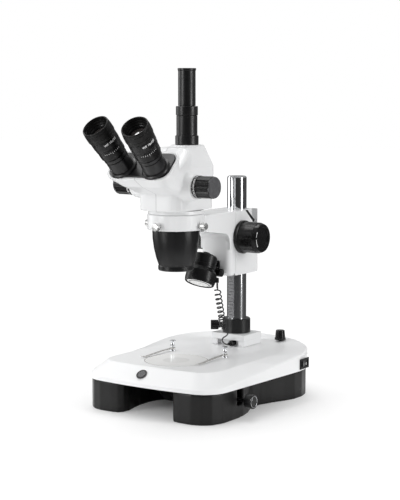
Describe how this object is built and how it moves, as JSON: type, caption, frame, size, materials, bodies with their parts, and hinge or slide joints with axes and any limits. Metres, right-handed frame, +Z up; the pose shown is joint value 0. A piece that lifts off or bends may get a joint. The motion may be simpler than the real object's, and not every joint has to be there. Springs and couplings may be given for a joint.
{
  "type": "stereo microscope",
  "caption": "Trinocular stereo zoom microscope: eyetubes and camera tube on a turning head, rack-focused arm on a pillar, base with stage plate, clips, mirror and a spot lamp on a curly lead.",
  "frame": {"origin": "middle of the whole instrument in plan, on the table it stands on", "axes": "+Z up, +X to the user's right, -Y towards the user"},
  "size_m": [0.2806, 0.4232, 0.5283],
  "materials": {
    "white_enamel": "die-cast, gloss white enamel",
    "white_plastic": "gloss white moulding",
    "black_plastic": "satin black moulding",
    "black_metal": "satin black enamel",
    "black_grip": "ribbed matt black",
    "rubber_cup": "matt",
    "chrome": "polished",
    "steel": "turned",
    "anodised": "dark anodised",
    "alloy": "as cast",
    "opal_plate": "opal white",
    "lamp_opal": "frosted diffuser",
    "lens_glass": "coated",
    "mirror_face": "front silvered",
    "badge_grey": "satin",
    "board_green": "circuit board",
    "cord_black": "satin vinyl"
  },
  "bodies": {
    "base": {"base_top_cover": "white_plastic", "base_frame": "black_plastic", "stage_plate": "opal_plate", "base_led_module": "alloy", "driver_board": "board_green", "power_inlet": "black_plastic", "switch_bezel": "black_plastic", "front_badge": "badge_grey", "pillar_bracket": "white_enamel", "pillar_collar": "black_metal", "pillar": "chrome", "pillar_rack": "steel", "clip_post_right": "chrome", "clip_post_left": "chrome", "lead_plug": "cord_black", "lead_tail": "cord_black", "lead_coil": "cord_black"},
    "arm": {"head_arm": "white_enamel", "focus_block": "white_enamel", "lamp_bracket": "black_metal"},
    "focus_drive": {"focus_pinion": "steel", "focus_knob_right": "black_grip", "focus_knob_left": "black_grip"},
    "lever": {"block_lever": "black_plastic"},
    "screw_front": {"ring_screw_front": "chrome"},
    "screw_right": {"ring_screw_right": "chrome"},
    "screw_left": {"ring_screw_left": "chrome"},
    "head": {"head_mount": "white_enamel", "nose_cone": "black_metal", "objective_window": "lens_glass", "zoom_optics": "anodised", "head_shell_right": "white_plastic", "head_shell_left": "white_plastic", "eyetube_panel": "black_plastic", "phototube_lower": "black_metal"},
    "zoom_drive": {"zoom_knob_right": "black_grip", "zoom_knob_left": "black_grip"},
    "tube_right": {"eyetube_right": "black_metal"},
    "tube_left": {"eyetube_left": "black_metal"},
    "diopter_right": {"diopter_ring_right": "black_grip"},
    "diopter_left": {"diopter_ring_left": "black_grip"},
    "ocular_right": {"eyepiece_right": "black_metal", "eyecup_right": "rubber_cup", "eye_lens_right": "lens_glass"},
    "ocular_left": {"eyepiece_left": "black_metal", "eyecup_left": "rubber_cup", "eye_lens_left": "lens_glass"},
    "photo_ring": {"phototube_ring": "black_grip"},
    "photo_upper": {"phototube_upper": "black_metal"},
    "lamp": {"lamp_body": "black_plastic", "lamp_lens": "lamp_opal"},
    "lamp_screw": {"lamp_knob": "black_grip"},
    "collar_screw": {"collar_knob": "black_grip"},
    "clip_right": {"clip_arm_right": "chrome"},
    "clip_left": {"clip_arm_left": "chrome"},
    "mirror": {"mirror_glass": "mirror_face", "mirror_tray": "black_metal", "mirror_knob": "black_grip"},
    "dimmer": {"dimmer_knob": "black_grip"},
    "rocker": {"switch_rocker": "black_plastic"}
  },
  "joints": [
    {"name": "focus_slide", "type": "slide", "parent": "base", "child": "arm", "axis": [0, 0, 1], "range_m": [-0.06, 0.038], "deforming": ["lead_coil"]},
    {"name": "focus_spin", "type": "hinge", "parent": "arm", "child": "focus_drive", "pos_m": [-0.00517, 0.1011, 0.258], "axis": [1, 0, 0], "range_deg": [-207, 326]},
    {"name": "lever_turn", "type": "hinge", "parent": "arm", "child": "lever", "pos_m": [0.01883, 0.1351, 0.284], "axis": [1, 0, 0], "range_deg": [-35, 0]},
    {"name": "screw_front_turn", "type": "hinge", "parent": "arm", "child": "screw_front", "pos_m": [-0.00517, -0.0894, 0.288], "axis": [0, -1, 0], "range_deg": [-180, 180]},
    {"name": "screw_right_turn", "type": "hinge", "parent": "arm", "child": "screw_right", "pos_m": [0.03983, -0.0444, 0.288], "axis": [1, 0, 0], "range_deg": [-180, 180]},
    {"name": "screw_left_turn", "type": "hinge", "parent": "arm", "child": "screw_left", "pos_m": [-0.05017, -0.0444, 0.288], "axis": [-1, 0, 0], "range_deg": [-180, 180]},
    {"name": "head_turn", "type": "hinge", "parent": "arm", "child": "head", "pos_m": [-0.00517, -0.0444, 0.3], "axis": [0, 0, 1], "continuous": true},
    {"name": "zoom_turn", "type": "hinge", "parent": "head", "child": "zoom_drive", "pos_m": [-0.00517, -0.0704, 0.35], "axis": [1, 0, 0], "range_deg": [-150, 150]},
    {"name": "tube_right_swing", "type": "hinge", "parent": "head", "child": "tube_right", "pos_m": [0.02483, -0.1263, 0.3881], "axis": [0, -0.7071, 0.7071], "range_deg": [-25, 8]},
    {"name": "tube_left_swing", "type": "hinge", "parent": "head", "child": "tube_left", "pos_m": [-0.03517, -0.1263, 0.3881], "axis": [0, -0.7071, 0.7071], "range_deg": [-8, 25]},
    {"name": "diopter_right_turn", "type": "hinge", "parent": "tube_right", "child": "diopter_right", "pos_m": [0.02751, -0.16349, 0.40733], "axis": [0.067, -0.6822, 0.7281], "range_deg": [-120, 120]},
    {"name": "ocular_right_slide", "type": "slide", "parent": "tube_right", "child": "ocular_right", "axis": [0.067, -0.6822, 0.7281], "range_m": [0, 0.026]},
    {"name": "diopter_left_turn", "type": "hinge", "parent": "tube_left", "child": "diopter_left", "pos_m": [-0.03785, -0.16349, 0.40733], "axis": [-0.067, -0.6822, 0.7281], "range_deg": [-120, 120]},
    {"name": "ocular_left_slide", "type": "slide", "parent": "tube_left", "child": "ocular_left", "axis": [-0.067, -0.6822, 0.7281], "range_m": [0, 0.026]},
    {"name": "photo_ring_turn", "type": "hinge", "parent": "head", "child": "photo_ring", "pos_m": [-0.00517, -0.0144, 0.463], "axis": [0, 0, 1], "range_deg": [-90, 90]},
    {"name": "photo_upper_slide", "type": "slide", "parent": "head", "child": "photo_upper", "axis": [0, 0, 1], "range_m": [0, 0.012]},
    {"name": "lamp_tilt", "type": "hinge", "parent": "arm", "child": "lamp", "pos_m": [-0.00517, 0.0561, 0.203], "axis": [1, 0, 0], "range_deg": [-8, 10]},
    {"name": "lamp_screw_turn", "type": "hinge", "parent": "lamp", "child": "lamp_screw", "pos_m": [-0.00517, 0.0561, 0.203], "axis": [1, 0, 0], "range_deg": [-90, 90]},
    {"name": "collar_screw_turn", "type": "hinge", "parent": "base", "child": "collar_screw", "pos_m": [-0.00517, 0.1296, 0.1066], "axis": [-0.829, -0.5593, 0], "range_deg": [-180, 180]},
    {"name": "clip_right_swing", "type": "hinge", "parent": "base", "child": "clip_right", "pos_m": [0.04533, 0.0171, 0.078], "axis": [0, 0, 1], "range_deg": [-30, 35]},
    {"name": "clip_left_swing", "type": "hinge", "parent": "base", "child": "clip_left", "pos_m": [-0.05567, 0.0171, 0.078], "axis": [0, 0, 1], "range_deg": [-35, 30]},
    {"name": "mirror_tilt", "type": "hinge", "parent": "base", "child": "mirror", "pos_m": [-0.00517, -0.0464, 0.0275], "axis": [1, 0, 0], "range_deg": [-5, 45]},
    {"name": "dimmer_turn", "type": "hinge", "parent": "base", "child": "dimmer", "pos_m": [0.04683, 0.1846, 0.075], "axis": [0, 0, 1], "range_deg": [0, 270]},
    {"name": "rocker_tip", "type": "hinge", "parent": "base", "child": "rocker", "pos_m": [0.12939, 0.1201, 0.058], "axis": [0, 0, 1], "range_deg": [-17, 0]}
  ],
  "couplings": [
    {"joint": "focus_spin", "follows": "focus_slide", "rad_per_m": -94.34},
    {"joint": "tube_left_swing", "follows": "tube_right_swing", "ratio": -1}
  ]
}
